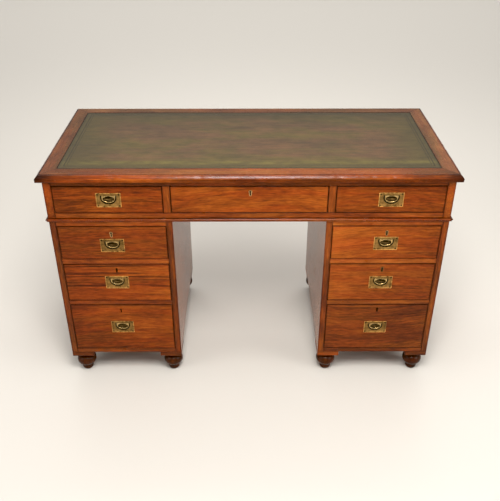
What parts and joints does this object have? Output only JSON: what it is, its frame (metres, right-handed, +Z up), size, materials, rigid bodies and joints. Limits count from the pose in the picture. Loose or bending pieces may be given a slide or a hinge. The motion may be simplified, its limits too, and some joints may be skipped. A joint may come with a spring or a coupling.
{
  "type": "pedestal desk",
  "caption": "Three-section pedestal desk in the campaign manner, with an inset leather writing surface, flush recessed brass handles on its drawers, and turned feet.",
  "frame": {"origin": "floor level under the middle of the top", "axes": "+X to the right as the front is looked at, +Y to the back, +Z up"},
  "size_m": [1.27, 0.584, 0.778],
  "materials": {
    "carcass_wood": "gloss varnish, worn at the edges",
    "drawer_wood": "gloss varnish, striped grain",
    "turned_wood": "dark gloss varnish",
    "lining_wood": "bare, aged",
    "green_leather": "faded, tooled lines near the edges",
    "brass": "aged, softly polished",
    "lock_brass": "aged"
  },
  "bodies": {
    "top_section": {"top_border": "carcass_wood", "top_panel": "carcass_wood", "writing_leather": "green_leather", "frieze_sides": "carcass_wood", "frieze_back": "carcass_wood", "frieze_front_frame": "carcass_wood", "frieze_base_board": "lining_wood", "frieze_runners": "lining_wood", "waist_moulding": "carcass_wood"},
    "left_pedestal": {"left_pedestal_sides": "carcass_wood", "left_pedestal_back": "carcass_wood", "left_pedestal_boards": "carcass_wood", "left_pedestal_drawer_frames": "carcass_wood", "left_pedestal_feet": "turned_wood"},
    "right_pedestal": {"right_pedestal_sides": "carcass_wood", "right_pedestal_back": "carcass_wood", "right_pedestal_boards": "carcass_wood", "right_pedestal_drawer_frames": "carcass_wood", "right_pedestal_feet": "turned_wood"},
    "frieze_left_drawer": {"frieze_left_drawer_front": "drawer_wood", "frieze_left_drawer_box": "lining_wood", "frieze_left_handle_plate": "brass"},
    "frieze_left_handle": {"frieze_left_handle_bail": "brass"},
    "frieze_centre_drawer": {"frieze_centre_drawer_front": "drawer_wood", "frieze_centre_drawer_box": "lining_wood", "frieze_centre_lock": "lock_brass"},
    "frieze_right_drawer": {"frieze_right_drawer_front": "drawer_wood", "frieze_right_drawer_box": "lining_wood", "frieze_right_handle_plate": "brass"},
    "frieze_right_handle": {"frieze_right_handle_bail": "brass"},
    "left_upper_drawer": {"left_upper_drawer_front": "drawer_wood", "left_upper_drawer_box": "lining_wood", "left_upper_handle_plate": "brass", "left_upper_lock": "lock_brass"},
    "left_upper_handle": {"left_upper_handle_bail": "brass"},
    "left_middle_drawer": {"left_middle_drawer_front": "drawer_wood", "left_middle_drawer_box": "lining_wood", "left_middle_handle_plate": "brass", "left_middle_lock": "lock_brass"},
    "left_middle_handle": {"left_middle_handle_bail": "brass"},
    "left_lower_drawer": {"left_lower_drawer_front": "drawer_wood", "left_lower_drawer_box": "lining_wood", "left_lower_handle_plate": "brass", "left_lower_lock": "lock_brass"},
    "left_lower_handle": {"left_lower_handle_bail": "brass"},
    "right_upper_drawer": {"right_upper_drawer_front": "drawer_wood", "right_upper_drawer_box": "lining_wood", "right_upper_handle_plate": "brass", "right_upper_lock": "lock_brass"},
    "right_upper_handle": {"right_upper_handle_bail": "brass"},
    "right_middle_drawer": {"right_middle_drawer_front": "drawer_wood", "right_middle_drawer_box": "lining_wood", "right_middle_handle_plate": "brass", "right_middle_lock": "lock_brass"},
    "right_middle_handle": {"right_middle_handle_bail": "brass"},
    "right_lower_drawer": {"right_lower_drawer_front": "drawer_wood", "right_lower_drawer_box": "lining_wood", "right_lower_handle_plate": "brass", "right_lower_lock": "lock_brass"},
    "right_lower_handle": {"right_lower_handle_bail": "brass"}
  },
  "joints": [
    {"name": "left_pedestal_draw_down", "type": "slide", "parent": "top_section", "child": "left_pedestal", "axis": [0, 0, -1], "range_m": [0, 0.1]},
    {"name": "right_pedestal_draw_down", "type": "slide", "parent": "top_section", "child": "right_pedestal", "axis": [0, 0, -1], "range_m": [0, 0.1]},
    {"name": "frieze_left_drawer_slide", "type": "slide", "parent": "top_section", "child": "frieze_left_drawer", "axis": [0, -1, 0], "range_m": [0, 0.36]},
    {"name": "frieze_left_handle_lift", "type": "hinge", "parent": "frieze_left_drawer", "child": "frieze_left_handle", "pos_m": [-0.42535, -0.2761, 0.7045], "axis": [-1, 0, 0], "range_deg": [0, 90]},
    {"name": "frieze_centre_drawer_slide", "type": "slide", "parent": "top_section", "child": "frieze_centre_drawer", "axis": [0, -1, 0], "range_m": [0, 0.36]},
    {"name": "frieze_right_drawer_slide", "type": "slide", "parent": "top_section", "child": "frieze_right_drawer", "axis": [0, -1, 0], "range_m": [0, 0.36]},
    {"name": "frieze_right_handle_lift", "type": "hinge", "parent": "frieze_right_drawer", "child": "frieze_right_handle", "pos_m": [0.42875, -0.2761, 0.7045], "axis": [-1, 0, 0], "range_deg": [0, 90]},
    {"name": "left_upper_drawer_slide", "type": "slide", "parent": "left_pedestal", "child": "left_upper_drawer", "axis": [0, -1, 0], "range_m": [0, 0.36]},
    {"name": "left_upper_handle_lift", "type": "hinge", "parent": "left_upper_drawer", "child": "left_upper_handle", "pos_m": [-0.4306, -0.2761, 0.5445], "axis": [-1, 0, 0], "range_deg": [0, 90]},
    {"name": "left_middle_drawer_slide", "type": "slide", "parent": "left_pedestal", "child": "left_middle_drawer", "axis": [0, -1, 0], "range_m": [0, 0.36]},
    {"name": "left_middle_handle_lift", "type": "hinge", "parent": "left_middle_drawer", "child": "left_middle_handle", "pos_m": [-0.4299, -0.2761, 0.4045], "axis": [-1, 0, 0], "range_deg": [0, 90]},
    {"name": "left_lower_drawer_slide", "type": "slide", "parent": "left_pedestal", "child": "left_lower_drawer", "axis": [0, -1, 0], "range_m": [0, 0.36]},
    {"name": "left_lower_handle_lift", "type": "hinge", "parent": "left_lower_drawer", "child": "left_lower_handle", "pos_m": [-0.43, -0.2761, 0.2215], "axis": [-1, 0, 0], "range_deg": [0, 90]},
    {"name": "right_upper_drawer_slide", "type": "slide", "parent": "right_pedestal", "child": "right_upper_drawer", "axis": [0, -1, 0], "range_m": [0, 0.36]},
    {"name": "right_upper_handle_lift", "type": "hinge", "parent": "right_upper_drawer", "child": "right_upper_handle", "pos_m": [0.4283, -0.2761, 0.5505], "axis": [-1, 0, 0], "range_deg": [0, 90]},
    {"name": "right_middle_drawer_slide", "type": "slide", "parent": "right_pedestal", "child": "right_middle_drawer", "axis": [0, -1, 0], "range_m": [0, 0.36]},
    {"name": "right_middle_handle_lift", "type": "hinge", "parent": "right_middle_drawer", "child": "right_middle_handle", "pos_m": [0.427, -0.2761, 0.4025], "axis": [-1, 0, 0], "range_deg": [0, 90]},
    {"name": "right_lower_drawer_slide", "type": "slide", "parent": "right_pedestal", "child": "right_lower_drawer", "axis": [0, -1, 0], "range_m": [0, 0.36]},
    {"name": "right_lower_handle_lift", "type": "hinge", "parent": "right_lower_drawer", "child": "right_lower_handle", "pos_m": [0.427, -0.2761, 0.2185], "axis": [-1, 0, 0], "range_deg": [0, 90]}
  ]
}
